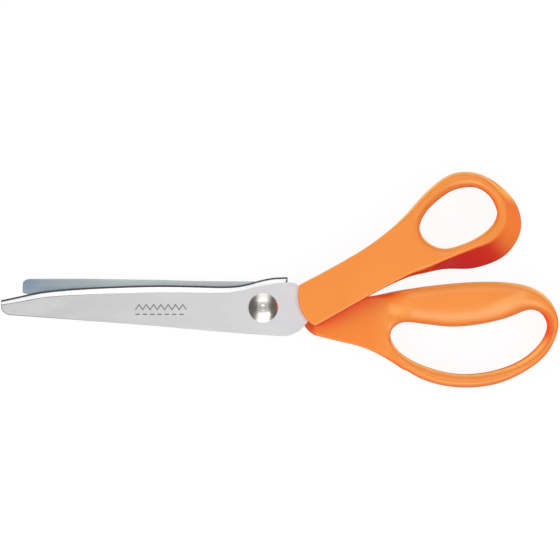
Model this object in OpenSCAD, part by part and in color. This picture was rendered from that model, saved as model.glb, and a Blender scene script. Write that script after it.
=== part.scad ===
// Pinking shears: two pressed steel blades with meshing zigzag jaws, a keyed pivot and bow handles.
// The origin is where the pivot's axis meets the back of the nut, in the plane the closed shears
// rest on. X runs from the tips to the bows, Y across the blades, Z along the pivot to its head.
// Every shape is drawn about the cutting plane, z = 0, and at_frame() lifts it to its place.
// The front blade and the thumb handle's neck lie above that plane, the rear blade below it.

/* [Blades] */
// Thickness of the blade sheet
sheet_t = 2.0; // [1.6:0.1:2.4]
// Distance from the cutting plane to each blade's inner face
face_gap = 1.05; // [1.0:0.05:1.3]
// Drop of the bent lip's outer surface from the blade face
lip_drop = 1.0; // [0.6:0.1:1.2]
// Width of the ground land above the cutting edge, seen from the front
land_w = 0.7; // [0.4:0.1:0.9]

/* [Teeth] */
// Distance from one zigzag crest to the next, along the radius from the pivot
tooth_pitch = 3.0; // [2.6:0.1:3.4]
// Height of the zigzag, crest to root
tooth_h = 1.8; // [1.4:0.1:1.9]
// Gap between the two sets of teeth, measured along the pivot
tooth_gap = 0.16; // [0.12:0.02:0.24]
// Radius from the pivot at which the teeth start
tooth_r0 = 20; // [19:0.5:24]

/* [Pivot] */
// Diameter of the domed head
head_d = 12.1; // [11:0.1:13]
// Height of the dome above the blade
head_h = 2.7; // [2.2:0.1:3.2]
// Diameter of the screw's bearing length
journal_d = 6; // [5.5:0.1:6.2]
// Diameter of the threaded end
thread_d = 5; // [4:0.5:5]
// Diameter of the round nut
nut_d = 11; // [10:0.1:12]
// Thickness of the round nut
nut_h = 2.53; // [2.4:0.01:3]

/* [Handles] */
// Height of the thumb handle's neck above the cutting plane
neck_h = 8; // [7:0.5:9]
// Clearance between the necks at the cutting plane, each side
neck_gap = 0.15; // [0.1:0.05:0.3]
// Diameter of the holes in the tangs that the handle plastic fills
anchor_d = 4; // [3:0.5:4.5]

/* [Hidden] */

steel = [0.80, 0.80, 0.81];
screw_steel = [0.72, 0.71, 0.69];
spring_steel = [0.55, 0.55, 0.56];
orange = [0.95, 0.50, 0.15];
white = [0.92, 0.92, 0.88];

play = 0.02;          // small gap between neighbouring pieces
washer_room = 1.42;   // from the rear blade to the nut
z_in = face_gap;
z_out = face_gap + sheet_t;
mid_z = z_out + washer_room + nut_h;   // cutting plane above the resting plane
bushing_d = journal_d + 2;

module at_frame() translate([0, 0, mid_z]) children();

// ---------- curves ----------
// Smooth curve through a table of [x, value], evaluated at x
function span_at(table, x, i=0) =
    (i >= len(table)-2 || x < table[i+1][0]) ? i : span_at(table, x, i+1);
function slope(table, i) =
    let(low = table[max(i-1, 0)], high = table[min(i+1, len(table)-1)])
    (high[1]-low[1]) / (high[0]-low[0]);
function curve(table, x) =
    let(i = span_at(table, x), width = table[i+1][0]-table[i][0], t = (x-table[i][0])/width)
    (2*t^3-3*t^2+1)*table[i][1] + (t^3-2*t^2+t)*width*slope(table, i)
    + (3*t^2-2*t^3)*table[i+1][1] + (t^3-t^2)*width*slope(table, i+1);

// Spline from start to end, steered by the points before and after them
function spline(before, start, end, after, t) =
    0.5*((2*start) + (end-before)*t + (2*before-5*start+4*end-after)*t^2
    + (3*start-before-3*end+after)*t^3);
function closed_path(points, steps) =
    let(n = len(points))
    [for (i = [0:n-1]) for (j = [0:steps-1])
        spline(points[(i+n-1)%n], points[i], points[(i+1)%n], points[(i+2)%n], j/steps)];
function open_path(points, steps) =
    let(last = len(points)-1)
    concat([for (i = [0:last-1]) for (j = [0:steps-1])
        spline(points[max(i-1, 0)], points[i], points[i+1], points[min(i+2, last)], j/steps)],
        [points[last]]);

function stations(start, end, count) = [for (i = [0:count]) start + (end-start)*i/count];
function blend(start, end, t) = start + (end-start)*t;
// Smooth rise from 0 at start to 1 at end
function ramp(start, end, x) = let(t = max(0, min(1, (x-start)/(end-start)))) t*t*(3-2*t);

// Skin over closed rings of points: the ends are capped unless the skin is a loop
module skin(rings, loop=false) {
    n = len(rings);
    m = len(rings[0]);
    last = loop ? n-1 : n-2;
    faces = concat(
        [for (i = [0:last]) for (j = [0:m-1]) [i*m+j, ((i+1)%n)*m+(j+1)%m, i*m+(j+1)%m]],
        [for (i = [0:last]) for (j = [0:m-1]) [i*m+j, ((i+1)%n)*m+j, ((i+1)%n)*m+(j+1)%m]],
        loop ? [] : [[for (j = [0:m-1]) j], [for (j = [m-1:-1:0]) (n-1)*m+j]]);
    polyhedron(points=[for (ring = rings) for (p = ring) p], faces=faces, convexity=10);
}

// ---------- teeth ----------
front_teeth = floor((110-tooth_r0)/tooth_pitch);
rear_teeth = floor((92.5-tooth_r0)/tooth_pitch);   // these stop short of the tip, left plain
// One tooth: [part of the pitch, side of the cutting plane], with small flats at crest and root
tooth_shape = [[0.04,-1], [0.46,1], [0.54,1], [0.96,-1]];
keepout_r = 116;
keepout_z = 12;

// What a jaw must not fill: all beyond its zigzag surface, turned about the pivot.
// In the blade modules side is 1 for the front blade and -1 for the rear.
module keepout(side, teeth, start_angle) {
    shift = side*tooth_gap/2;
    zigzag = [for (i = [0:teeth-1]) for (p = tooth_shape)
        [tooth_r0 + (i+p[0])*tooth_pitch, p[1]*tooth_h/2 + shift]];
    plain_z = -tooth_h/2 + shift;
    rotate([0, 0, start_angle]) rotate_extrude(angle=160, $fn=96)
        polygon(concat(
            [[0.5, -side*keepout_z], [0.5, side*z_in], [tooth_r0, side*z_in]],
            zigzag,
            [[tooth_r0+teeth*tooth_pitch, plain_z], [keepout_r, plain_z],
             [keepout_r, -side*keepout_z]]));
}

// ---------- blades ----------
// Edges are [x, y of the cutting edge]; lips are [x, width of the bent lip behind it]
front_edge = [
    [-107.7,3.1], [-100,4.75], [-92,6.45], [-83.5,7.45], [-70,8.35], [-55,8.95], [-42,9.2],
    [-28,9], [-17,8.75], [-11,9], [-6.4,9.8], [-2,11.1], [4,12.3], [9.2,12.55]];
front_lip = [
    [-107.7,1.9], [-100,2.35], [-84,2.6], [-60,2.85], [-42,2.85], [-17,2.6], [-7,2.2], [2,2.5],
    [9.2,2.2]];
front_x = stations(-107.7, 9.2, 56);
// The rear jaw mirrors the front one about the closing line, so both cross at the same radius
rear_edge = [
    [-98.9,6.1], [-96,5.35], [-92.6,4.2], [-83.8,1.6], [-70.5,-1.3], [-55.6,-3.9], [-42.7,-5.3],
    [-27.7,-6.2], [-15.7,-7.0], [-8.5,-8.6], [-2,-9.6]];
rear_lip = [[-98.9,1.5], [-93,2.0], [-84,2.7], [-70,3.0], [-42,2.9], [-15,2.5], [-2,2.2]];
rear_x = stations(-98.9, -2, 48);

// Rest of each flat outline, [x, y], from the pivot end of the lip round to the tip
front_rest = [
    // heel
    [9.8,10.4], [11.6,10.35], [13.2,9.95], [14.4,9.1], [15.6,8.5],
    // tang
    [24,10.2], [46.5,22.6], [49.5,23], [52,21], [52.2,18], [50.5,15.6], [29,3.2], [21.5,-2.4],
    [18.3,-5.8], [16.6,-7.7], [15,-9.3], [13.2,-10.4], [11.2,-11.3], [9.2,-11.7],
    // back
    [7.1,-11.75], [-6.4,-10.85], [-27.4,-9.1], [-42.4,-7.7], [-74.6,-5.2], [-91.7,-3.9],
    [-104.6,-3.0], [-105.8,-2.5], [-106.9,-1.6], [-107.55,-0.6], [-107.7,0.3]];
rear_rest = [
    // tang
    [3,-8.6], [8.5,-9.0], [11.5,-8.3], [14,-6.6], [16.5,-5.0], [20,-4.6], [25,-6.6], [31,-8.6],
    [45.5,-8.6], [48,-7.2], [49,-4.8], [48,-2.2], [45.5,-0.6], [25,1.6], [18,4.4], [13.5,7.6],
    [8,9.8],
    // back
    [-2,10.8], [-27.2,11.0], [-42.2,11.45], [-74.4,11.95], [-96.4,11.9], [-97.7,11.45],
    [-98.6,10.7], [-98.9,9.9]];
front_holes = [[30,9.2], [43,16.6]];
rear_holes = [[27,-2.6], [40,-4.6]];

land_z = tooth_h/2 + tooth_gap/2 + 0.1;   // foot of the ground land, just above the teeth
lip_end_z = -1.35;                        // the lip reaches past the teeth before they are cut

// Section of a lip, [y from the edge, z]: land, lip, and the inner ramp back to the inner face
function lip_section(width) = [
    [0, lip_end_z], [0, land_z], [-land_w, z_out-lip_drop], [-width, z_out],
    [-width-0.6, z_out-0.6], [-width-1.0, z_in+0.25], [-min(1.5, 0.7*width), lip_end_z]];

// end_lean tilts the last ring, so that the lip's square end faces a little upwards
module lip(edge, widths, places, side, end_lean=0) {
    end_x = places[len(places)-1];
    skin([for (x = places) let(lean = x > end_x-0.1 ? end_lean : 0)
        [for (p = lip_section(curve(widths, x)))
            [x + lean*(z_out-p[1]), curve(edge, x) + side*p[0], side*p[1]]]]);
}
module blade_outline(edge, widths, places, rest, side)
    polygon(concat([for (x = places) [x, curve(edge, x) - side*curve(widths, x)]], rest));
module front_outline() blade_outline(front_edge, front_lip, front_x, front_rest, 1);
module rear_outline() blade_outline(rear_edge, rear_lip, rear_x, rear_rest, -1);

module tang_holes(places, d=anchor_d)
    for (p = places) translate(p) circle(d=d, $fn=48);
// Round with two flats, so that the screw turns with the front blade
module key_shape(clearance) {
    intersection() {
        circle(d=journal_d+2*clearance, $fn=64);
        square([journal_d+1, journal_d-1.2+2*clearance], center=true);
    }
}
module through_cut() translate([0, 0, -5]) linear_extrude(10) children();

module front_blade() color(steel) at_frame() {
    difference() {
        union() {
            translate([0, 0, z_in]) linear_extrude(sheet_t) front_outline();
            difference() {
                lip(front_edge, front_lip, front_x, 1, end_lean=0.4);
                keepout(1, front_teeth, start_angle=40);
            }
        }
        through_cut() key_shape(0.03);
        through_cut() tang_holes(front_holes);
    }
}
module rear_blade() color(steel) at_frame() {
    difference() {
        union() {
            translate([0, 0, -z_out]) linear_extrude(sheet_t) rear_outline();
            difference() {
                lip(rear_edge, rear_lip, rear_x, -1);
                keepout(-1, rear_teeth, start_angle=110);
            }
        }
        translate([0, 0, -5]) cylinder(d=bushing_d+2*play, h=10, $fn=64);
        through_cut() tang_holes(rear_holes);
    }
}

// ---------- handles ----------
// Stations round each bow: [x, y on the finger hole's rim, x, y on the outer rim across the band]
thumb_bow = [
    [96.2,39.5, 105.9,38], [93.4,45.7, 101.3,46.7], [87.4,49.3, 90.4,54.5],
    [78.6,48.2, 78.4,55.3], [71.4,43.5, 68,48.4], [66.4,38.1, 58,36.8],
    [64.2,32, 51.5,26], [67.2,27.2, 57,13.7], [74,24.5, 74.5,15.9],
    [83.1,26.9, 87,16.3], [90.4,31, 98.8,20.9], [94.8,35.6, 105.3,29.3]];
finger_bow = [
    [116.8,-7.8, 121.4,-7], [114.3,-2.2, 118.1,2.6], [108.9,-0.8, 110.6,8.2],
    [100.6,-4, 100,10.4], [90,-6.6, 88,10.6], [78,-7.8, 75.5,9.7],
    [66.5,-6.7, 62,8], [57.6,-5.9, 48,4.8], [52.8,-9, 41,-4],
    [52.7,-13.6, 42,-14.5], [57.4,-19.3, 51,-20.2], [67.2,-24.3, 64.8,-29.2],
    [80,-27.2, 79.6,-32.7], [93.2,-26.2, 95.2,-31.5], [105,-22, 108.2,-25.8],
    [113.2,-15.3, 117.2,-18]];
thumb_steps = 8;
finger_steps = 6;

// Neck edges at lower and higher y, and the end by the pivot, as [x, y] on smooth curves
thumb_low = [[21.5,-7.6], [31.5,-2], [41.5,3.7], [50.6,8.6], [60.5,12.9], [70.4,15.6]];
thumb_high = [[66,46.5], [58,37.6], [50.6,30.9], [42,24.6], [33,19.2], [24.5,14.5], [16.1,10.1]];
thumb_end = [[14.7,9.3], [14.4,5], [14.8,1], [15.9,-1.8], [18.1,-5.1], [19.8,-6.7]];
finger_low = [[21.6,-11.5], [31,-13.8], [41,-16.3], [50,-20.6], [58.5,-26.1]];
finger_high = [[60.5,7.9], [52,6.3], [44,4.7], [38,4.6], [30,5.1], [21,5.8], [16,5.6]];
finger_end = [[14.6,4.4], [14.5,0], [14.9,-3.6], [16.4,-6.8], [18.3,-9.3], [20,-10.8]];

bow_centre = [79.4, 36.7];    // middle of the thumb hole
thumb_axis = [0.848, 0.53];   // direction of the thumb handle in plan
function along(p) = thumb_axis*p;
function across(p) = [-thumb_axis[1], thumb_axis[0]]*(p-bow_centre);

// Heights of the handles' surfaces above the cutting plane, at a point in plan:
// the thumb's top falls in two steps along its axis
function thumb_top(p) = neck_h - 0.2*ramp(56, 76, along(p)) - 2.4*ramp(74, 114, along(p));
// its foot falls along the axis, and rises again on the bow's far side across it
function thumb_foot(p) =
    neck_gap - 7.1*ramp(52, 82, along(p)) + 3*ramp(-4, 17, across(p))*ramp(66, 84, along(p));
// the finger bow's top rises from the neck, higher towards +y and lower at the far end
function finger_top(p) =
    blend(-neck_gap, 5.9 + 2.2*ramp(-17, -4, p[1])*(1-ramp(98, 119, p[0])),
        ramp(45, 61, p[0] + 0.1*abs(p[1]+4)));
// How far the thumb bow's foot stands outside its top rim, by direction from the hole's middle
function flare(angle) = 8.4*ramp(-150, -70, angle)*(1-ramp(-35, 65, angle));

// Corner of a section, rounded by a quadratic curve that starts and ends reach from it
function corner(before, tip, after, reach) =
    let(start = tip + (before-tip)*min(0.47, reach/norm(before-tip)),
        end = tip + (after-tip)*min(0.47, reach/norm(after-tip)))
    [for (i = [0:4]) let(t = i/4) start*(1-t)^2 + 2*tip*t*(1-t) + end*t^2];
// Stands a section of [distance outwards, z] on the line from the hole's rim
function placed(section, rim, dir) =
    [for (p = section) [rim[0]+dir[0]*p[0], rim[1]+dir[1]*p[0], p[1]]];

function thumb_section(station) = let(
    rim = [station[0], station[1]],
    outer = [station[2], station[3]],
    band = norm(outer-rim),
    angle = atan2(outer[1]-bow_centre[1], outer[0]-bow_centre[0]),
    spread = flare(angle),
    rim_foot_z = max(thumb_foot(rim), -mid_z),
    outer_foot_z = max(thumb_foot(outer), -mid_z),
    rim_foot = [0.45*spread, rim_foot_z],
    rim_side = [0, 0.6],
    rim_top = [1.1*max(0, cos(angle-120)), thumb_top(rim)],   // set back most towards 120 degrees
    outer_top = [band-spread, thumb_top(outer)-0.2],
    outer_side = [band, outer_foot_z+3.4],
    outer_foot = [band, outer_foot_z])
    placed(concat(
        [rim_side],
        corner(rim_side, rim_top, outer_top, 2.6),
        corner(rim_top, outer_top, outer_side, 2.2),
        [outer_side],
        corner(outer_side, outer_foot, rim_foot, 2.2),
        corner(outer_foot, rim_foot, rim_side, 2.4)), rim, (outer-rim)/band);
function finger_section(station) = let(
    rim = [station[0], station[1]],
    outer = [station[2], station[3]],
    band = norm(outer-rim),
    rim_foot = [0, -mid_z],
    rim_top = [0, finger_top(rim)],
    outer_top = [band, finger_top(outer)-0.7],
    outer_foot = [band, -mid_z])
    placed(concat(
        corner(rim_foot, rim_top, outer_top, 5),
        corner(rim_top, outer_top, outer_foot, 3.8),
        corner(outer_top, outer_foot, rim_foot, 3.8),
        corner(outer_foot, rim_foot, rim_top, 4)), rim, (outer-rim)/band);

// Neck in plan, less the finger hole
module neck_plan(outline, bow, steps) {
    difference() {
        polygon(outline);
        polygon([for (p = closed_path(bow, steps)) [p[0], p[1]]]);
    }
}
// Room for the tang given as a child, with pegs of plastic left in its holes
module tang_slot(bottom, holes) {
    translate([0, 0, bottom-0.01]) linear_extrude(sheet_t+0.02) difference() {
        children();
        tang_holes(holes, anchor_d-2*play);
    }
}

module thumb_handle() color(orange) at_frame() {
    outline = concat(open_path(thumb_low, 5), [[69,22], [63,40]],
        open_path(thumb_high, 5), open_path(thumb_end, 4));
    difference() {
        union() {
            translate([0, 0, neck_gap]) linear_extrude(neck_h-neck_gap)
                neck_plan(outline, thumb_bow, thumb_steps);
            skin([for (s = closed_path(thumb_bow, thumb_steps)) thumb_section(s)], loop=true);
        }
        tang_slot(z_in, front_holes) front_outline();
        // slope under the pivot end, so that the rear blade's heel can turn past it
        translate([19.5, 0, neck_gap]) rotate([0, -142, 0])
            translate([0, -30, 0]) cube([12, 60, 8]);
    }
}
module finger_handle() color(orange) at_frame() {
    outline = concat(open_path(finger_low, 5), [[56,-15], [57,2]],
        open_path(finger_high, 4), open_path(finger_end, 4));
    difference() {
        union() {
            translate([0, 0, -mid_z]) linear_extrude(mid_z-neck_gap)
                neck_plan(outline, finger_bow, finger_steps);
            skin([for (s = closed_path(finger_bow, finger_steps)) finger_section(s)], loop=true);
        }
        tang_slot(-z_out, rear_holes) rear_outline();
        // slope on top of the pivot end
        translate([21.4, 0, -neck_gap]) rotate([0, -49, 0])
            translate([-14, -30, 0]) cube([14, 60, 9]);
    }
}

// ---------- pivot ----------
head_rim = 0.5;       // straight rim below the dome
dimple_r = 4;
dimple_depth = 0.32;
thread_floor = 0.7;   // nut left below the blind threaded hole
nut_bevel = 0.5;
notch_w = 1.8;
notch_depth = 0.9;
thrust_t = 0.5;

module pivot_screw() color(screw_steel) at_frame() {
    head_r = head_d/2;
    dome_h = head_h-head_rim;
    dome_r = (head_r^2+dome_h^2)/(2*dome_h);
    head_z = z_out+play;
    rim_z = head_z+head_rim;
    difference() {
        union() {
            translate([0, 0, head_z]) cylinder(r=head_r, h=head_rim, $fn=96);
            intersection() {
                translate([0, 0, rim_z+dome_h-dome_r]) sphere(r=dome_r, $fn=128);
                translate([0, 0, rim_z-0.1]) cylinder(r=head_r, h=dome_h+1, $fn=96);
            }
            translate([0, 0, -z_out-0.3]) cylinder(d=journal_d, h=z_out+0.3+z_in-play, $fn=64);
            translate([0, 0, z_in-0.04]) linear_extrude(sheet_t+0.1) key_shape(0);
            translate([0, 0, -mid_z+thread_floor+play])
                cylinder(d=thread_d, h=mid_z-z_out, $fn=64);
        }
        translate([0, 0, rim_z+dome_h+dimple_r-dimple_depth]) sphere(r=dimple_r, $fn=96);
    }
}
module pivot_nut() color(screw_steel) at_frame() {
    difference() {
        translate([0, 0, -mid_z]) union() {
            translate([0, 0, nut_bevel]) cylinder(d=nut_d, h=nut_h-nut_bevel, $fn=96);
            cylinder(d1=nut_d-2*nut_bevel, d2=nut_d, h=nut_bevel, $fn=96);
        }
        translate([0, 0, -mid_z+thread_floor]) cylinder(d=thread_d+2*play, h=10, $fn=64);
        // two notches in the rim for the adjusting key
        for (x = [-nut_d/2-1, nut_d/2-notch_depth])
            translate([x, -notch_w/2, -mid_z-1]) cube([notch_depth+1, notch_w, 6]);
    }
}

module washer(bottom, height, outer_d, bore_d, facets=96) {
    translate([0, 0, bottom]) difference() {
        cylinder(d=outer_d, h=height, $fn=facets);
        translate([0, 0, -1]) cylinder(d=bore_d, h=height+2, $fn=64);
    }
}
module pivot_bushing() color(white) at_frame()
    washer(-z_out+play, sheet_t-2*play, bushing_d, journal_d+0.06, facets=64);
module spacer_washer() color(white) at_frame()
    washer(-z_in+play, 2*z_in-2*play, 17, journal_d+0.1);
module thrust_washer() color(steel) at_frame()
    washer(-z_out-play-thrust_t, thrust_t, 12.6, journal_d+0.1);
// Conical washer; the section is [radius, z]
module spring_washer() color(spring_steel) at_frame()
    translate([0, 0, -z_out-2*play-thrust_t]) rotate_extrude($fn=96)
        polygon([[2.6,-0.85], [2.6,-0.40], [5.4,-0.02], [5.4,-0.47]]);

front_blade();
rear_blade();
thumb_handle();
finger_handle();
pivot_screw();
pivot_nut();
pivot_bushing();
spacer_washer();
thrust_washer();
spring_washer();
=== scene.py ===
# A pair of scissors with orange handles, lying flat with +Z up. The blades point towards -X. The
# front half carries the thumb handle (+Y side), the rear half the finger handle (-Y side).
# Outlines and handle shapes are in mm, with z counted from the cutting plane between the blades;
# materials and the studio are in metres.
import math
from functools import cached_property

import bpy
import numpy as np
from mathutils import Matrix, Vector


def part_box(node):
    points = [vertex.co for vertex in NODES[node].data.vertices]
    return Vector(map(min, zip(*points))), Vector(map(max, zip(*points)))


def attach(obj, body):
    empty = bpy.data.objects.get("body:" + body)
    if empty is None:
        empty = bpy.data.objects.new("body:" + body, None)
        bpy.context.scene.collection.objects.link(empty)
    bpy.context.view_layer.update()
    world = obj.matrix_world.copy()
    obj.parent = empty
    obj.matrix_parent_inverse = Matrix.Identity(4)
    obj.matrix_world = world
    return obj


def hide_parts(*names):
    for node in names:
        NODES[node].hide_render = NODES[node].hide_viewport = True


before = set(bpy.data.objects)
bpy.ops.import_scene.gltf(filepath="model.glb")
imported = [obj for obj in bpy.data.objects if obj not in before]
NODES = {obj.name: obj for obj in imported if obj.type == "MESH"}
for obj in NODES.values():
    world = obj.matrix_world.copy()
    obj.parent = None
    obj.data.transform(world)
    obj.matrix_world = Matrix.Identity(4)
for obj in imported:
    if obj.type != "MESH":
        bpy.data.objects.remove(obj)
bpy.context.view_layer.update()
MM = 1000.0  # mm in a metre

# the cutting plane's height in mm: the middle of the spacer washer
_low, _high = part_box("spacer_washer")
MID = (_low.z + _high.z) / 2 * MM

MESH_CELL = 0.42  # grid of the handle meshes
PLAN_CELL = 0.4  # grid of the distance fields in plan
MARGIN = 1.5  # room round a handle in plan
FIELD_Z = (-8.2, 9.4)  # height range of the handle grids


# ------------------------------------------------------------------ curves and outlines
def smoothstep(low, high, x):
    t = np.clip((x - low) / (high - low), 0, 1)
    return t * t * (3 - 2 * t)


def mix(start, end, share):
    return start + (end - start) * share


def closed_curve(points, sigma, corners, step=0.5):
    """Even, smoothed closed curve through points; those whose index is in corners stay sharp."""
    count = len(points)
    spans = []
    for i in range(count):
        before, start, end, after = (points[(i + k) % count] for k in (-1, 0, 1, 2))
        if i in corners:
            before = start - (end - start)
        if (i + 1) % count in corners:
            after = end + (end - start)
        samples = max(2, int(np.linalg.norm(end - start) / 0.25))
        t = np.linspace(0, 1, samples, endpoint=False)[:, None]
        square = (2 * before - 5 * start + 4 * end - after) * t**2
        cube = (3 * start - before - 3 * end + after) * t**3
        spans.append(0.5 * (2 * start + (end - before) * t + square + cube))
    dense = np.vstack(spans)
    lengths = np.linalg.norm(np.roll(dense, -1, 0) - dense, axis=1)
    walked = np.concatenate([[0], np.cumsum(lengths)])
    places = np.linspace(0, walked[-1], int(walked[-1] / step), endpoint=False)
    ring = np.vstack([dense, dense[:1]])
    even = np.column_stack([np.interp(places, walked, ring[:, k]) for k in (0, 1)])
    # gaussian smoothing that fades out near the corners
    weight = np.ones(len(even))
    for i in corners:
        gap = np.linalg.norm(even - points[i], axis=1)
        weight *= smoothstep(0.3, 2.5 * sigma + 0.5, gap)
    reach = int(3 * sigma / step) + 1
    offsets = np.arange(-reach, reach + 1)
    kernel = np.exp(-0.5 * (offsets * step / sigma) ** 2)
    kernel /= kernel.sum()
    blurred = sum(share * np.roll(even, -j, 0) for j, share in zip(offsets, kernel))
    return even + (blurred - even) * weight[:, None]


def signed_distance(grid_x, grid_y, curve):
    """Distance to a closed curve, positive inside it, at every point of a grid."""
    x = grid_x.ravel().astype(np.float32)
    y = grid_y.ravel().astype(np.float32)
    starts = curve.astype(np.float32)
    ends = np.roll(starts, -1, 0)
    edges = ends - starts
    squares = (edges * edges).sum(1) + 1e-12
    best = np.full(len(x), 1e9, np.float32)
    inside = np.zeros(len(x), bool)
    for start, end, edge, square in zip(starts, ends, edges, squares):
        to_x = x - start[0]
        to_y = y - start[1]
        t = np.clip((to_x * edge[0] + to_y * edge[1]) / square, 0, 1)
        np.minimum(best, (to_x - t * edge[0]) ** 2 + (to_y - t * edge[1]) ** 2, out=best)
        spans = (start[1] > y) != (end[1] > y)
        if spans.any():
            inside ^= spans & (x < start[0] + to_y / edge[1] * edge[0])
    distance = np.sqrt(best)
    return np.where(inside, distance, -distance).reshape(grid_x.shape)


class Plan:
    """Distance fields on a grid in plan, looked up at any point."""

    def __init__(self, box, areas):
        self.start = [box[0][0], box[1][0]]
        axes = [np.arange(low, high + PLAN_CELL, PLAN_CELL) for low, high in box[:2]]
        grid = np.meshgrid(*axes, indexing="ij")
        # several curves under one name stand for the area that they cover together
        self.fields = {
            name: np.max([signed_distance(*grid, curve) for curve in curves], axis=0)
            for name, curves in areas.items()
        }

    def at(self, name, x, y):
        field = self.fields[name]
        across = np.clip((x - self.start[0]) / PLAN_CELL, 0, field.shape[0] - 1.001)
        along = np.clip((y - self.start[1]) / PLAN_CELL, 0, field.shape[1] - 1.001)
        i, j = across.astype(int), along.astype(int)
        u, v = across - i, along - j
        return ((1 - u) * (1 - v) * field[i, j] + u * (1 - v) * field[i + 1, j]
                + (1 - u) * v * field[i, j + 1] + u * v * field[i + 1, j + 1])


def signed_area(curve):
    x, y = curve[:, 0], curve[:, 1]
    return 0.5 * np.sum(x * np.roll(y, -1) - np.roll(x, -1) * y)


def read_triples(items, name, kind=np.float32):
    values = np.zeros(len(items) * 3, kind)
    items.foreach_get(name, values)
    return values.reshape(-1, 3)


def weld_key(point):
    return (round(point[0] * 500), round(point[1] * 500))


def cut(node, z):
    """Closed outlines, largest first, where a CAD node meets the level z."""
    mesh = NODES[node].data
    mesh.calc_loop_triangles()
    corners = read_triples(mesh.vertices, "co").astype(float) * MM
    triangles = corners[read_triples(mesh.loop_triangles, "vertices", np.int32)]
    z = z + MID + 1.7e-4  # a hair off the level, so that no vertex lies in it
    above = triangles[:, :, 2] > z
    count = above.sum(1)
    crossed = (count > 0) & (count < 3)
    triangles, above, count = triangles[crossed], above[crossed], count[crossed]
    one_above = (count == 1)[:, None]
    # the corner alone on its side, then the points where its two edges cross the level
    lone = np.where(one_above, above, ~above).argmax(1)
    apex, second, third = (triangles[np.arange(len(lone)), (lone + k) % 3] for k in range(3))
    hits = [apex + (far - apex) * ((z - apex[:, 2]) / (far[:, 2] - apex[:, 2]))[:, None]
            for far in (second, third)]
    starts = np.where(one_above, hits[0], hits[1])[:, :2]
    ends = np.where(one_above, hits[1], hits[0])[:, :2]
    following = {}
    for start, end in zip(starts, ends):
        if weld_key(start) != weld_key(end):
            following.setdefault(weld_key(start), []).append(end)
    loops = []
    while following:
        first = current = next(iter(following))
        points = []
        while current in following:
            point = following[current].pop()
            if not following[current]:
                del following[current]
            points.append(point)
            current = weld_key(point)
            if current == first:
                break
        if len(points) > 8:
            loops.append(np.array(points))
    return sorted(loops, key=lambda loop: -abs(signed_area(loop)))


def smooth_outline(outline, sigma=1.2):
    """Evens out a cut outline, and keeps the corners near its -X end."""
    spacing, corner_angle, corner_zone = 0.12, 0.44, 10  # mm, radians, mm from the -X end
    kept = [outline[0]]
    for point in outline[1:]:
        if np.linalg.norm(point - kept[-1]) > spacing:
            kept.append(point)
    if np.linalg.norm(kept[0] - kept[-1]) < spacing:
        kept.pop()
    kept = np.array(kept)
    back = kept - np.roll(kept, 1, 0)
    ahead = np.roll(kept, -1, 0) - kept
    cross = back[:, 0] * ahead[:, 1] - back[:, 1] * ahead[:, 0]
    turn = np.abs(np.arctan2(cross, (back * ahead).sum(1)))
    sharp = (turn > corner_angle) & (kept[:, 0] < kept[:, 0].min() + corner_zone)
    return closed_curve(kept, sigma, np.flatnonzero(sharp))


def shift_part(curve, move, facing):
    """Moves the part of a closed curve whose outward side looks towards facing."""
    tangent = np.roll(curve, -1, 0) - np.roll(curve, 1, 0)
    normal = np.column_stack([tangent[:, 1], -tangent[:, 0]])
    normal /= np.linalg.norm(normal, axis=1, keepdims=True)
    if signed_area(curve) < 0:
        normal = -normal
    share = smoothstep(-0.15, 0.9, normal @ np.array(facing) / math.hypot(*facing))
    return curve + share[:, None] * np.array(move)


# ------------------------------------------------------------------ meshes from fields
def shifted(cells, axes, offsets):
    moved = cells.copy()
    moved[:, axes] += offsets
    return moved


def surface_nets(field, start, cell):
    """Vertices and quads of the surface where a sampled field changes sign."""
    inside = field < 0
    shape = tuple(size - 1 for size in field.shape)
    total = np.zeros((*shape, 3), np.float32)
    count = np.zeros(shape, np.float32)
    crossings = []
    for axis in range(3):
        low, high = [slice(None)] * 3, [slice(None)] * 3
        low[axis], high[axis] = slice(0, -1), slice(1, None)
        low, high = tuple(low), tuple(high)
        crossed = inside[low] != inside[high]
        cells = np.argwhere(crossed)
        value, next_value = field[low][crossed], field[high][crossed]
        points = cells.astype(np.float32)
        points[:, axis] += value / (value - next_value)
        others = [k for k in range(3) if k != axis]
        for offsets in ((0, 0), (0, -1), (-1, 0), (-1, -1)):
            near = shifted(cells, others, offsets)
            valid = ((near >= 0) & (near < shape)).all(1)
            np.add.at(total, tuple(near[valid].T), points[valid])
            np.add.at(count, tuple(near[valid].T), 1)
        crossings.append((others, cells, (value < 0) == (axis == 1)))
    active = count > 0
    ids = np.full(shape, -1, np.int64)
    ids[active] = np.arange(active.sum())
    vertices = total[active] / count[active][:, None]
    quads = []
    for others, cells, backward in crossings:
        ring = np.column_stack([ids[tuple(shifted(cells, others, offsets).T)]
                                for offsets in ((-1, -1), (0, -1), (0, 0), (-1, 0))])
        ring[backward] = ring[backward][:, ::-1]
        quads.append(ring)
    vertices = vertices * cell + np.array(start, np.float32)
    return vertices.astype(float), np.vstack(quads)


def project(vertices, field, steps=1):
    """Moves points along the field's slope onto its zero surface."""
    probe, longest = 0.06, 0.3
    for _ in range(steps):
        value = field(*vertices.T)
        slope = np.column_stack([field(*(vertices + step).T) - field(*(vertices - step).T)
                                 for step in np.eye(3) * probe]) / (2 * probe)
        step = -(value / ((slope * slope).sum(1) + 1e-6))[:, None] * slope
        length = np.linalg.norm(step, axis=1, keepdims=True) + 1e-9
        vertices = vertices + step * np.minimum(1, longest / length)
    return vertices


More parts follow.
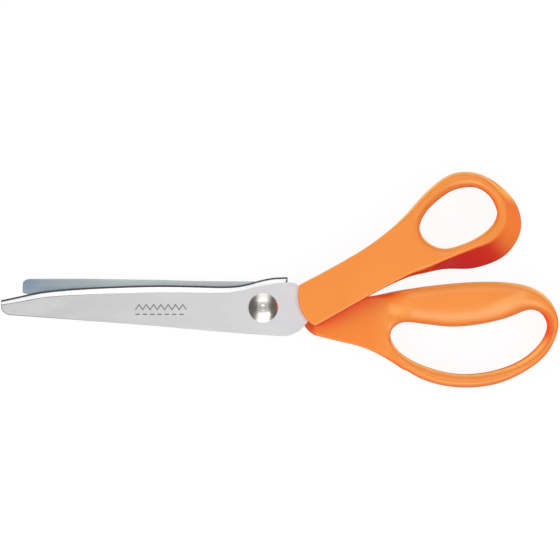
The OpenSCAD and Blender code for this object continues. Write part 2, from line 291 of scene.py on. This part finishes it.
def solid_from_field(name, field, box, painted_shade):
    """Closed mesh of the surface field = 0, with its points evened out on that surface."""
    xs, ys, zs = (np.arange(low, high + MESH_CELL, MESH_CELL) for low, high in box)
    grid_x, grid_y = np.meshgrid(xs, ys, indexing="ij")
    layers = [field(grid_x, grid_y, np.full_like(grid_x, z)) for z in zs]
    samples = np.stack(layers, axis=2).astype(np.float32)
    vertices, quads = surface_nets(samples, [low for low, _ in box], MESH_CELL)
    edges = np.vstack([quads[:, [i, (i + 1) % 4]] for i in range(4)])
    degree = np.bincount(edges.ravel(), minlength=len(vertices)).astype(float)[:, None]

    vertices = project(vertices, field, steps=2)
    for _ in range(4):
        total = np.zeros_like(vertices)
        for here, there in ((0, 1), (1, 0)):
            for axis in range(3):
                total[:, axis] += np.bincount(edges[:, here], minlength=len(vertices),
                                              weights=vertices[edges[:, there], axis])
        vertices = vertices + 0.5 * (total / degree - vertices)
        vertices = project(vertices, field)
    vertices = project(vertices, field)
    # the share of painted shade at each point, kept for the plastic's colour
    tone = painted_shade(*vertices.T[:2])
    vertices[:, 2] += MID

    mesh = bpy.data.meshes.new(name)
    mesh.vertices.add(len(vertices))
    mesh.vertices.foreach_set("co", (vertices / MM).astype(np.float32).ravel())
    mesh.loops.add(len(quads) * 4)
    mesh.loops.foreach_set("vertex_index", quads.astype(np.int32).ravel())
    mesh.polygons.add(len(quads))
    mesh.polygons.foreach_set("loop_start", np.arange(0, len(quads) * 4, 4, dtype=np.int32))
    mesh.polygons.foreach_set("use_smooth", np.ones(len(quads), bool))
    mesh.update(calc_edges=True)
    mesh.validate()
    mesh.attributes.new("painted_shade", "FLOAT", "POINT").data.foreach_set(
        "value", tone.astype(np.float32))
    shell = bpy.data.objects.new(name, mesh)
    bpy.context.scene.collection.objects.link(shell)
    return shell


def field_box(node):
    low, high = (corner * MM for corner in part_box(node))
    return ((low.x - MARGIN, high.x + MARGIN), (low.y - MARGIN, high.y + MARGIN), FIELD_Z)


# ------------------------------------------------------------------ handles
# Low cuts give each handle's widest outline, the higher thumb cuts the front end of its neck.
THUMB_LEVELS = (5.4, 0.65, -0.6, -1.8, -2.7, -3.5)
FINGER_LEVELS = (-0.6, -6.85)
thumb_out = [smooth_outline(cut("thumb_handle", z)[0]) for z in THUMB_LEVELS]
thumb_hole = shift_part(smooth_outline(cut("thumb_handle", 0.65)[1], sigma=1.4),
                        move=(-0.15, 0.33), facing=(0.45, -0.9))
thumb_hole_low = shift_part(thumb_hole, move=(1.6, -3.6), facing=(0.45, -0.9))
thumb_hole_top = shift_part(thumb_hole, move=(-0.6, 0.9), facing=(-0.5, 0.86))
finger_out = [smooth_outline(cut("finger_handle", z)[0]) for z in FINGER_LEVELS]
finger_hole = smooth_outline(cut("finger_handle", -0.6)[1])
finger_hole_top = shift_part(finger_hole, move=(1.9, -0.3), facing=(0.95, -0.15))

thumb_box = field_box("thumb_handle")
finger_box = field_box("finger_handle")
BOW_X, BOW_Y = (thumb_hole.max(0) + thumb_hole.min(0)) / 2

thumb_plan = Plan(thumb_box, {
    "out": thumb_out, "hole_top": [thumb_hole_top], "hole_low": [thumb_hole_low]})
finger_plan = Plan(finger_box, {
    "out": finger_out, "hole_top": [finger_hole_top], "hole_low": [finger_hole]})

THUMB_AXIS = (0.848, 0.53)  # direction in plan from the thumb neck into its bow
THUMB_CENTRE = (79.4, 36.7)  # place in the bow that the sideways distance is counted from
FINGER_NECK_TOP = -0.15
FINGER_BOTTOM = -6.97


def flare_at(x, y):
    """How far the thumb bow's foot stands outside its top rim, by direction from the hole."""
    angle = np.degrees(np.arctan2(y - BOW_Y + 0.25, x - BOW_X + 0.8))
    return 8.4 * smoothstep(-150, -52, angle) * (1 - smoothstep(-35, 65, angle))


def rim_share(from_hole, width):
    """0 on the hole's side of the wall, 1 on the rim's side."""
    return smoothstep(0.35, 0.75, np.clip(from_hole / width, 0, 1))


def rounded(z, top, bottom, rim, hole, top_round, bottom_round, power):
    """Rounded wall, negative inside; rim and hole are pairs of a distance and a rounding."""
    sideways = np.maximum(np.maximum(1 - rim[0] / rim[1], 1 - hole[0] / hole[1]), 0)
    upright = np.maximum(np.maximum((z - (top - top_round)) / top_round,
                                    ((bottom + bottom_round) - z) / bottom_round), 0)
    return (sideways**power + upright**power) ** (1 / power) - 1


def thumb_field(x, y, z):
    axis_x, axis_y = THUMB_AXIS
    along = axis_x * x + axis_y * y
    across = -axis_y * (x - THUMB_CENTRE[0]) + axis_x * (y - THUMB_CENTRE[1])
    in_bow = smoothstep(56, 76, along)
    # the top falls towards the far end; the bottom rises at the tip of the neck, drops into
    # the bow and rises again on one side of it
    top = 8.0 - 0.2 * in_bow - 2.4 * smoothstep(74, 114, along)
    bottom = 0.15 + np.maximum(0, (19.5 - x) * 0.78) - 7.1 * smoothstep(52, 82, along)
    bottom = bottom + 3.0 * smoothstep(-4, 17, across) * smoothstep(66, 84, along)
    # the outer wall reaches its full flare 3.2 above the bottom, the hole's wall at the bottom
    drop = np.clip((top - z) / (top - bottom), 0, 1)
    flare_drop = np.clip((top - z) / (top - bottom - 3.2), 0, 1)
    flare = flare_at(x, y) * smoothstep(44, 62, along)
    from_rim = thumb_plan.at("out", x, y) - flare * (1 - flare_drop)
    from_hole = -mix(thumb_plan.at("hole_top", x, y), thumb_plan.at("hole_low", x, y), drop)
    width = np.maximum(from_rim + from_hole, 1.5)
    # roundings, by how far into the bow and how flared the wall is
    flared = smoothstep(0.4, 3.0, flare)
    rim_round = mix(mix(1.1, np.minimum(0.5 * width, 3.6), in_bow), 1.1, flared)
    hole_round = mix(np.minimum(3.0, 0.5 * width), np.minimum(width - 1.1, 5.0), flared)
    rim_top_round = mix(mix(1.1, 3.6, in_bow), 1.0, flared)
    top_round = mix(3.0, rim_top_round, rim_share(from_hole, width))
    return rounded(z, top, bottom, rim=(from_rim, rim_round), hole=(from_hole, hole_round),
                   top_round=top_round, bottom_round=mix(1.0, 3.0, in_bow), power=2)


def finger_field(x, y, z):
    in_bow = smoothstep(45, 57, x)
    # the bow's top is higher towards +Y, except at the far end; the neck is low and its tip slopes
    bow_top = 5.9 + 2.2 * smoothstep(-17, -4, y) * (1 - smoothstep(98, 119, x))
    top = mix(FINGER_NECK_TOP, bow_top, smoothstep(46.5, 62.0, x + 0.10 * np.abs(y + 4)))
    top = np.minimum(top, FINGER_NECK_TOP - (21.4 - x) * 1.15)
    from_rim = finger_plan.at("out", x, y)
    drop = np.clip((top - z) / 9.0, 0, 1)
    from_hole = -mix(finger_plan.at("hole_top", x, y), finger_plan.at("hole_low", x, y), drop)
    width = np.maximum(from_rim + from_hole, 1.5)
    # roundings, kept within the width and height of the wall
    rim_round = mix(1.0, np.minimum(0.4 * width, 5.5), in_bow)
    hole_round = np.minimum(mix(3.0, 12.0, smoothstep(42, 54, x)), 0.65 * width)
    highest = 0.48 * (top - FINGER_BOTTOM)
    top_round = mix(5.4, mix(1.0, 5.0, in_bow), rim_share(from_hole, width))
    return rounded(z, top, FINGER_BOTTOM, rim=(from_rim, rim_round),
                   hole=(from_hole, hole_round), top_round=np.minimum(top_round, highest),
                   bottom_round=np.minimum(mix(1.2, 4.5, in_bow), highest), power=2.2)


def thumb_painted_shade(x, y):
    """Share of painted shade: 1 on the flared wall of the thumb bow, 0 elsewhere."""
    flare = flare_at(x, y)
    return smoothstep(1.0, 3.2, flare) * smoothstep(0.7, -0.3, thumb_plan.at("out", x, y) - flare)


def finger_painted_shade(x, _y):
    """Share of painted shade on the sunken neck and its tip, standing in for shade and the thumb
    handle's colour thrown back.
    """
    return 0.55 * (1 - smoothstep(42, 51, x)) + 0.35 * (1 - smoothstep(21.0, 22.0, x))


thumb = solid_from_field("thumb_handle_shell", thumb_field, thumb_box, thumb_painted_shade)
finger = solid_from_field("finger_handle_shell", finger_field, finger_box, finger_painted_shade)


# ------------------------------------------------------------------ shader graphs
class Graph:
    """Short ways to add nodes; a value may be a number, a colour or a socket."""

    def __init__(self, tree):
        self.tree = tree
        tree.nodes.clear()

    def node(self, kind, **settings):
        node = self.tree.nodes.new(kind)
        for name, value in settings.items():
            setattr(node, name, value)
        return node

    def put(self, socket, value):
        if isinstance(value, bpy.types.NodeSocket):
            self.tree.links.new(value, socket)
        elif value is not None:
            socket.default_value = value

    def math(self, operation, first, second=None, clamp=False):
        node = self.node("ShaderNodeMath", operation=operation, use_clamp=clamp)
        self.put(node.inputs[0], first)
        self.put(node.inputs[1], second)
        return node.outputs[0]

    def times(self, first, *others):
        for other in others:
            first = self.math("MULTIPLY", first, other)
        return first

    def ramp(self, x, low, high, start=0.0, end=1.0):
        """Smooth step from start, where x is low, to end, where x is high."""
        node = self.node("ShaderNodeMapRange", interpolation_type="SMOOTHSTEP")
        for socket, value in zip(node.inputs, (x, low, high, start, end)):
            self.put(socket, value)
        return node.outputs[0]

    def fall(self, x, low, high):
        return self.ramp(x, low, high, start=1.0, end=0.0)

    def split(self, vector):
        node = self.node("ShaderNodeSeparateXYZ")
        self.put(node.inputs[0], vector)
        return node.outputs


class Material(Graph):
    def __init__(self, name):
        self.material = bpy.data.materials.new(name)
        self.material.use_nodes = True
        super().__init__(self.material.node_tree)
        self.out = self.node("ShaderNodeOutputMaterial")
        self.bsdf = self.node("ShaderNodeBsdfPrincipled")
        self.put(self.out.inputs[0], self.bsdf.outputs[0])

    @cached_property
    def place(self):
        return self.node("ShaderNodeTexCoord").outputs["Object"]

    @cached_property
    def geometry(self):
        return self.node("ShaderNodeNewGeometry").outputs

    def set(self, **values):
        for name, value in values.items():
            self.put(self.bsdf.inputs[name.replace("_", " ")], value)

    def noise(self, scale, detail=3.0, rough=0.5, at=None):
        node = self.node("ShaderNodeTexNoise")
        self.put(node.inputs["Vector"], at or self.place)
        node.inputs["Scale"].default_value = scale
        node.inputs["Detail"].default_value = detail
        node.inputs["Roughness"].default_value = rough
        return node.outputs[0]

    def stretched(self, *scale):
        node = self.node("ShaderNodeMapping")
        self.put(node.inputs[0], self.place)
        node.inputs["Scale"].default_value = scale
        return node.outputs[0]

    def mix(self, share, first, second, blend="MIX"):
        node = self.node("ShaderNodeMix", data_type="RGBA", blend_type=blend)
        for index, value in ((0, share), (6, first), (7, second)):
            self.put(node.inputs[index], value)
        return node.outputs[2]

    def bump(self, height, strength, distance, normal=None):
        node = self.node("ShaderNodeBump")
        node.inputs["Strength"].default_value = strength
        node.inputs["Distance"].default_value = distance
        self.put(node.inputs["Height"], height)
        self.put(node.inputs["Normal"], normal)
        return node.outputs[0]

    def bevel(self, radius):
        node = self.node("ShaderNodeBevel", samples=6)
        node.inputs["Radius"].default_value = radius
        return node.outputs[0]

    def openness(self, distance, samples):
        node = self.node("ShaderNodeAmbientOcclusion", samples=samples)
        node.inputs["Distance"].default_value = distance
        return node.outputs["AO"]

    def attribute(self, name):
        node = self.node("ShaderNodeAttribute", attribute_type="GEOMETRY", attribute_name=name)
        return node.outputs["Fac"]


def rgb(*channels):
    """sRGB 0..255 to a linear colour."""
    shares = [channel / 255 for channel in channels]
    return (*(s / 12.92 if s <= 0.04045 else ((s + 0.055) / 1.055) ** 2.4 for s in shares), 1.0)


# ------------------------------------------------------------------ plastic and nylon
# Only the top pair and the speckle are the plastic's own colours; the rest are painted light and
# shade: side colours by which way a wall faces, shade in the sunken neck, in hollows, under the
# flare and in gaps, and highlights on upper edges and gentle curves.
SKIN = {
    "top": (rgb(211, 121, 40), rgb(215, 125, 45)),
    "shaded top": rgb(213, 100, 40),
    "-Y side": rgb(212, 112, 56),
    "shaded side": rgb(196, 62, 32),
    "+Y side": rgb(214, 114, 40),
    "-X side": rgb(212, 82, 32),
    "+X side": rgb(216, 104, 36),
    "rim": rgb(253, 184, 98),
    "hollow shade": rgb(240, 66, 36),
    "sheen": rgb(222, 156, 88),
    "flare foot shade": rgb(186, 36, 34),
    "gap": rgb(140, 30, 16),
    "speckle": rgb(226, 148, 80),
}


def plastic():
    mat = Material("orange_plastic")
    normal_x, normal_y, up = mat.split(mat.geometry["Normal"])
    level = mat.math("ABSOLUTE", up)
    x, y, _ = mat.split(mat.place)
    # painted shade: the skin gets a deeper, redder colour where it turns steep or sits in a
    # hollow, standing in for shade and the orange light thrown between surfaces
    exposed = mat.math("MAXIMUM", mat.ramp(mat.openness(0.010, samples=8), 0.34, 0.86),
                       mat.fall(up, -0.25, 0.15))
    flat = mat.ramp(level, 0.24, 0.90)
    painted_shade = mat.attribute("painted_shade")
    top = mat.mix(mat.ramp(mat.noise(40, 2), 0.3, 0.7), *SKIN["top"])
    # painted shade: a deeper, redder top on the sunken neck and the flared wall
    top = mat.mix(mat.times(painted_shade, 0.55), top, SKIN["shaded top"])

    # the thumb handle's lower wall is in its own shade
    neck = mat.times(mat.fall(x, 0.045, 0.048), mat.ramp(y, -0.0095, -0.0085))
    under = mat.times(mat.math("MAXIMUM", mat.ramp(y, 0.0, 0.003), neck),
                      mat.fall(y, 0.030, 0.036))
    side = mat.mix(under, SKIN["-Y side"], SKIN["shaded side"])
    # painted light and shade by facing: steep walls take colours by which way they face, lighter
    # towards +Y and redder towards -X
    side = mat.mix(mat.ramp(normal_y, -0.60, 0.40), side, SKIN["+Y side"])
    side = mat.mix(mat.fall(normal_x, -0.75, -0.25), side, SKIN["-X side"])
    side = mat.mix(mat.ramp(normal_x, 0.35, 0.80), side, SKIN["+X side"])
    # painted highlight: a pale line along open upper edges that face +Y
    rim = mat.times(mat.ramp(normal_y, 0.30, 0.75), mat.ramp(up, 0.04, 0.34))
    side = mat.mix(mat.times(rim, exposed), side, SKIN["rim"])
    base = mat.mix(flat, side, mat.mix(exposed, SKIN["hollow shade"], top))

    # painted highlight: gentle curves are painted paler, standing in for the gloss they would show
    crown_highlight = mat.times(mat.fall(level, 0.955, 0.999), mat.ramp(level, 0.74, 0.92),
                      mat.math("SUBTRACT", 1.0, painted_shade, clamp=True),
                      mat.ramp(normal_y, -0.25, 0.10, start=0.24, end=0.10))
    base = mat.mix(crown_highlight, base, SKIN["sheen"])
    # a painted highlight streak along the palm's ridge, a parabola in plan, towards both of its
    # ends
    from_middle = mat.math("SUBTRACT", x, 0.072)
    ridge = mat.math("ADD", mat.times(from_middle, from_middle, 7.0), -0.0031)
    ridge_streak = mat.fall(mat.math("ABSOLUTE", mat.math("SUBTRACT", y, ridge)), 0.0006, 0.0036)
    near_end = mat.times(mat.ramp(x, 0.0500, 0.0535),
                         mat.ramp(x, 0.054, 0.061, start=0.92, end=0.0))
    far_end = mat.times(mat.ramp(x, 0.086, 0.098),
                        mat.ramp(x, 0.105, 0.112, start=0.48, end=0.0))
    ends = mat.math("ADD", near_end, far_end)
    base = mat.mix(mat.times(ridge_streak, ends, mat.ramp(up, 0.6, 0.85)), base, SKIN["sheen"])
    # painted shade: the underside of the flared wall gets the darkest, reddest colour
    red = mat.times(mat.ramp(painted_shade, 0.60, 1.0), mat.fall(normal_y, -0.78, -0.40))
    base = mat.mix(red, base, SKIN["flare foot shade"])
    # painted shadow: a narrow dark line where two parts nearly touch
    near = mat.ramp(mat.openness(0.0012, samples=6), 0.45, 0.85, start=0.85, end=0.0)
    base = mat.mix(mat.times(near, mat.ramp(up, 0.3, 0.8)), base, SKIN["gap"])
    speckle = mat.ramp(mat.noise(3600, 2), 0.35, 0.75, start=0.0, end=0.03)
    base = mat.mix(speckle, base, SKIN["speckle"])

    shallow = mat.math("SUBTRACT", 1.0, mat.times(painted_shade, 0.75))
    grain = mat.math("ADD", mat.times(mat.noise(2400, 2), 0.35),
                     mat.times(mat.noise(210, 2), 0.5))
    mat.set(Base_Color=base, IOR=1.46,
            Roughness=mat.ramp(mat.noise(700), 0.3, 0.7, start=0.29, end=0.37),
            Specular_IOR_Level=mat.times(flat, 0.52, shallow),
            Subsurface_Weight=0.05, Subsurface_Scale=0.0012,
            Subsurface_Radius=(1.0, 0.35, 0.12),
            Normal=mat.bump(grain, strength=0.045, distance=0.00005))
    return mat.material


def nylon():
    mat = Material("bearing_nylon")
    mat.set(Base_Color=mat.mix(mat.noise(400), rgb(232, 230, 220), rgb(214, 210, 198)),
            Roughness=mat.ramp(mat.noise(900, 2), 0.3, 0.7, start=0.4, end=0.55),
            Subsurface_Weight=0.15, Subsurface_Scale=0.001,
            Normal=mat.bump(mat.noise(1500, 2), strength=0.2, distance=0.00004))
    return mat.material


# ------------------------------------------------------------------ steel
def turned_lines(mat):
    """Fine rings round the Z axis, and the tangent along them."""
    x, y, z = mat.split(mat.place)
    radius = mat.math("SQRT", mat.math("ADD", mat.times(x, x), mat.times(y, y)))
    rings = mat.node("ShaderNodeCombineXYZ")
    mat.put(rings.inputs[0], mat.times(radius, 9000.0))
    mat.put(rings.inputs[1], mat.times(mat.math("ARCTAN2", y, x), 1.2))
    mat.put(rings.inputs[2], mat.times(z, 9000.0))
    tangent = mat.node("ShaderNodeTangent", direction_type="RADIAL", axis="Z")
    return mat.noise(1.0, 3, 0.6, at=rings.outputs[0]), tangent.outputs[0]


def brushed_lines(mat):
    """Fine lines along X, and the tangent along them."""
    along = mat.node("ShaderNodeCombineXYZ")
    along.inputs[0].default_value = 1
    tangent = mat.node("ShaderNodeVectorTransform", vector_type="NORMAL",
                       convert_from="OBJECT", convert_to="WORLD")
    mat.put(tangent.inputs[0], along.outputs[0])
    return mat.noise(1.0, 4, 0.65, at=mat.stretched(60, 5200, 5200)), tangent.outputs[0]


def tone_along(mat, base, tones):
    """Slow change of tone along X on upper faces; tones pairs a place with a multiplier."""
    x = mat.split(mat.place)[0]
    tone = tones[0][1]
    for (start, _), (end, colour) in zip(tones, tones[1:]):
        tone = mat.mix(mat.ramp(x, start, end), tone, colour)
    up = mat.ramp(mat.split(mat.geometry["Normal"])[2], 0.0, 0.5)
    return mat.mix(up, base, mat.mix(1.0, base, tone, "MULTIPLY"))


def edge_highlight(mat, base, edge):
    """Painted highlight: a pale line along the sheet's +Y edge, which runs straight between two
    places.
    """
    x, y, _ = mat.split(mat.place)
    (start_x, start_y), (end_x, end_y) = edge
    slope = (end_y - start_y) / (end_x - start_x)
    rim = mat.math("ADD", mat.times(mat.math("SUBTRACT", x, start_x), slope), start_y)
    inset = mat.math("SUBTRACT", rim, y)
    return mat.mix(mat.ramp(inset, 0.0004, 0.0010, 0.35, 0.0), base, rgb(236, 240, 242))


def stitches(mat, base):
    """Row of zigzag stitches over a row of dashes, on the blade's upper face."""
    start, end, pitch = -0.0525, -0.0315, 0.0030
    zig_height, zig_foot, zig_half_line = 0.0042, -0.0008, 0.00036
    dash_y, dash_half_line, dash_share = -0.0027, 0.00026, 0.62
    x, y, _ = mat.split(mat.place)
    count = mat.times(mat.math("ADD", x, -start), 1.0 / pitch)
    wave = mat.times(mat.math("PINGPONG", count, 0.5), zig_height)
    off_zig = mat.math("SUBTRACT", y, mat.math("ADD", wave, zig_foot))
    zigzag = mat.math("LESS_THAN", mat.math("ABSOLUTE", off_zig), zig_half_line)
    off_dash = mat.math("ABSOLUTE", mat.math("ADD", y, -dash_y))
    dashes = mat.times(mat.math("LESS_THAN", off_dash, dash_half_line),
                       mat.math("LESS_THAN", mat.math("FRACT", mat.times(count, 1.0)), dash_share))
    within = mat.times(mat.math("GREATER_THAN", x, start), mat.math("LESS_THAN", x, end))
    up = mat.math("GREATER_THAN", mat.split(mat.geometry["Normal"])[2], 0.9)
    ink = mat.times(mat.math("MAXIMUM", zigzag, dashes), within, up, 0.80)
    return mat.mix(ink, base, rgb(96, 96, 98))


def ground_edge(mat, base, lip, land, tip_line):
    """Colours the bent lip and the ground land, and sets how metallic and glossy they are."""
    zone = mat.attribute("zone")
    on_lip, on_land = (
        mat.fall(mat.math("ABSOLUTE", mat.math("SUBTRACT", zone, number)), 0.4, 0.6)
        for number in (1.0, 2.0))
    base = mat.mix(on_lip, base, lip)
    # painted shade: a thin grey line on the fold between the sheet and its bent lip
    dot = mat.node("ShaderNodeVectorMath", operation="DOT_PRODUCT")
    mat.put(dot.inputs[0], mat.bevel(0.00045))
    mat.put(dot.inputs[1], mat.geometry["Normal"])
    fold = mat.times(mat.ramp(dot.outputs["Value"], 0.9995, 0.993),
                     mat.ramp(mat.split(mat.place)[0], -0.100, -0.055, tip_line, 0.25))
    base = mat.mix(fold, base, rgb(72, 72, 74))
    mat.set(Metallic=mat.math("SUBTRACT", 1.0, mat.times(on_land, 0.8)), Specular_IOR_Level=0.15)
    return mat.mix(on_land, base, land)


def steel(name, light, dark, rough, lines_of=turned_lines, tones=None, edge=None, mark=False,
          ground=None):
    mat = Material(name)
    lines, tangent = lines_of(mat)
    base = mat.mix(mat.ramp(lines, 0.25, 0.75), dark, light)
    if tones:
        base = tone_along(mat, base, tones)
    cloud = mat.noise(170, at=mat.stretched(0.35, 1, 1))
    base = mat.mix(mat.ramp(cloud, 0.42, 0.72, start=0.0, end=0.35), base, light)
    if edge:
        base = edge_highlight(mat, base, edge)
    if mark:
        base = stitches(mat, base)
    mat.set(Metallic=1.0)
    if ground:
        base = ground_edge(mat, base, **ground)
    mat.set(Base_Color=base, Anisotropic=0.65, Tangent=tangent,
            Roughness=mat.ramp(lines, 0.2, 0.8, start=rough - 0.05, end=rough + 0.07),
            Normal=mat.bump(lines, 0.16, 0.00002, normal=mat.bevel(0.00018)))
    return mat.material


PLASTIC = plastic()
FRONT = steel(
    "front_blade_steel", rgb(252, 251, 252), rgb(240, 240, 242), 0.34, brushed_lines,
    tones=((-0.108, rgb(232, 232, 232)), (-0.020, rgb(246, 245, 245)),
           (0.010, rgb(250, 250, 251))),
    mark=True,
    ground={"lip": rgb(214, 214, 215), "land": rgb(60, 62, 66), "tip_line": 1.0})
REAR = steel(
    "rear_blade_steel", rgb(214, 218, 220), rgb(200, 205, 208), 0.36, brushed_lines,
    tones=((-0.0985, rgb(186, 208, 232)), (-0.090, rgb(206, 220, 232)),
           (-0.080, rgb(210, 224, 232)), (-0.060, rgb(246, 255, 254)),
           (-0.020, rgb(250, 252, 255))),
    edge=((-0.002, 0.0108), (-0.0744, 0.01195)),
    ground={"lip": rgb(206, 212, 216), "land": rgb(120, 128, 134), "tip_line": 0.3})
DOME = steel("screw_steel", rgb(214, 210, 205), rgb(186, 182, 176), 0.24)
SPRING = steel("spring_steel", rgb(150, 150, 154), rgb(120, 120, 126), 0.34)
NYLON = nylon()


def mark_zones(blade, up):
    """Marks faces: 0 sheet, 1 the lip's outer slope, 2 the ground land and end, 3 teeth."""
    polygons = blade.data.polygons
    normal = read_triples(polygons, "normal")
    centre = read_triples(polygons, "center") * 1000
    x = centre[:, 0]
    z = (centre[:, 2] - MID) * up
    normal_y, normal_z = normal[:, 1] * up, normal[:, 2] * up
    lip = (normal_z > 0.75) & (normal_z < 0.985) & (normal_y > 0.1) & (x < 11)
    land = (normal_z <= 0.75) & (normal_y > 0.3) & (z < 2.15) & (x < 11)
    end = (normal[:, 0] > 0.7) & (x > 9) & (x < 10.6) & (centre[:, 1] * up > 9)
    zone = np.zeros(len(polygons), np.float32)
    zone[lip] = 1
    zone[land | end] = 2
    zone[(z < 0.95) & ~land] = 3
    blade.data.attributes.new("zone", "FLOAT", "FACE").data.foreach_set("value", zone)


def dress(piece, material):
    piece.data.materials.clear()
    piece.data.materials.append(material)


mark_zones(NODES["front_blade"], up=1)
mark_zones(NODES["rear_blade"], up=-1)
for node, material in (
    ("front_blade", FRONT), ("rear_blade", REAR), ("pivot_screw", DOME), ("pivot_nut", DOME),
    ("pivot_bushing", NYLON), ("spacer_washer", NYLON), ("thrust_washer", SPRING),
    ("spring_washer", SPRING), ("thumb_handle", PLASTIC), ("finger_handle", PLASTIC),
):
    dress(NODES[node], material)
dress(thumb, PLASTIC)
dress(finger, PLASTIC)
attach(thumb, "front_half")
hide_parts("thumb_handle")
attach(finger, "rear_half")
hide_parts("finger_handle")

# ------------------------------------------------------------------ studio
LIGHT_TARGET = Vector((0.007, 0.011, 0.0))
CAMERA_PLACE = (0.0069, 0.0114, 3.0)
VIEW_WIDTH = 0.2300  # width seen at VIEW_HEIGHT above the ground
VIEW_HEIGHT = 0.010

scene = bpy.context.scene
scene.view_settings.view_transform = "Standard"
scene.view_settings.look = "None"


def studio_world():
    world = bpy.data.worlds.new("studio")
    scene.world = world
    world.use_nodes = True
    sky = Graph(world.node_tree)
    out = sky.node("ShaderNodeOutputWorld")
    background = sky.node("ShaderNodeBackground")
    sky.put(out.inputs[0], background.outputs[0])
    x, y, z = sky.split(sky.node("ShaderNodeTexCoord").outputs["Generated"])
    off_x, off_y = sky.math("ABSOLUTE", x), sky.math("ABSOLUTE", y)
    # two long softboxes towards +Y and -Y, darker towards +X and -X, light grey overhead
    boxes = sky.times(sky.ramp(off_y, 0.36, 0.58), sky.fall(off_x, 0.26, 0.60),
                      sky.ramp(y, -0.3, 0.3, start=1.5, end=0.7))
    grey = sky.math("SUBTRACT", 0.92, sky.times(sky.ramp(off_x, 0.22, 0.62), 0.74))
    mirror = sky.math("ADD", sky.times(boxes, 1.1), grey)
    # matt surfaces are lit by an even dome that fades towards the horizon; mirrors see the boxes
    even = sky.ramp(z, 0.10, 0.75, start=0.24, end=0.96)
    matt = sky.node("ShaderNodeLightPath").outputs["Is Diffuse Ray"]
    level = sky.math("ADD", sky.times(mirror, sky.math("SUBTRACT", 1.0, matt)),
                     sky.times(even, matt))
    sky.put(background.inputs["Strength"], level)
    background.inputs["Color"].default_value = (1.0, 1.0, 1.0, 1.0)


def softbox(name, place, size, power):
    light = bpy.data.lights.new(name, "AREA")
    light.shape = "RECTANGLE"
    light.size, light.size_y = size
    light.energy = power
    lamp = bpy.data.objects.new(name, light)
    lamp.location = place
    lamp.rotation_euler = (LIGHT_TARGET - Vector(place)).to_track_quat("-Z", "Y").to_euler()
    scene.collection.objects.link(lamp)
    return lamp


def studio_floor():
    """Pale glowing floor, seen through from below."""
    bpy.ops.mesh.primitive_plane_add(size=6.0, location=(0, 0, -0.0003))
    floor = bpy.context.object
    floor.name = "studio_floor"
    mat = Material("floor")
    mat.set(Base_Color=(0.08, 0.08, 0.08, 1.0), Roughness=0.9, Specular_IOR_Level=0.05,
            Emission_Color=(1, 1, 1, 1), Emission_Strength=0.91)
    clear = mat.node("ShaderNodeBsdfTransparent")
    blend = mat.node("ShaderNodeMixShader")
    sources = (mat.geometry["Backfacing"], mat.bsdf.outputs[0], clear.outputs[0])
    for socket, source in zip(blend.inputs, sources):
        mat.put(socket, source)
    mat.put(mat.out.inputs[0], blend.outputs[0])
    dress(floor, mat.material)


def studio_camera():
    lens = bpy.data.cameras.new("camera")
    lens.sensor_width = 36.0
    lens.lens = 36.0 * (CAMERA_PLACE[2] - VIEW_HEIGHT) / VIEW_WIDTH
    lens.clip_end = 20
    camera = bpy.data.objects.new("camera", lens)
    camera.location = CAMERA_PLACE
    scene.collection.objects.link(camera)
    scene.camera = camera


studio_world()
softbox("key_softbox", (0.25, -0.80, 0.90), size=(0.9, 0.5), power=2.8)
softbox("fill_softbox", (-0.10, 0.80, 0.90), size=(0.9, 0.4), power=1.0)
# soft cards from the two ends, seen by matt surfaces only
for name, place, power in (("left_card", (-0.95, -0.10, 0.40), 7.0),
                           ("right_card", (1.00, 0.10, 0.45), 4.0)):
    softbox(name, place, (0.5, 0.8), power).visible_glossy = False
studio_floor()
studio_camera()
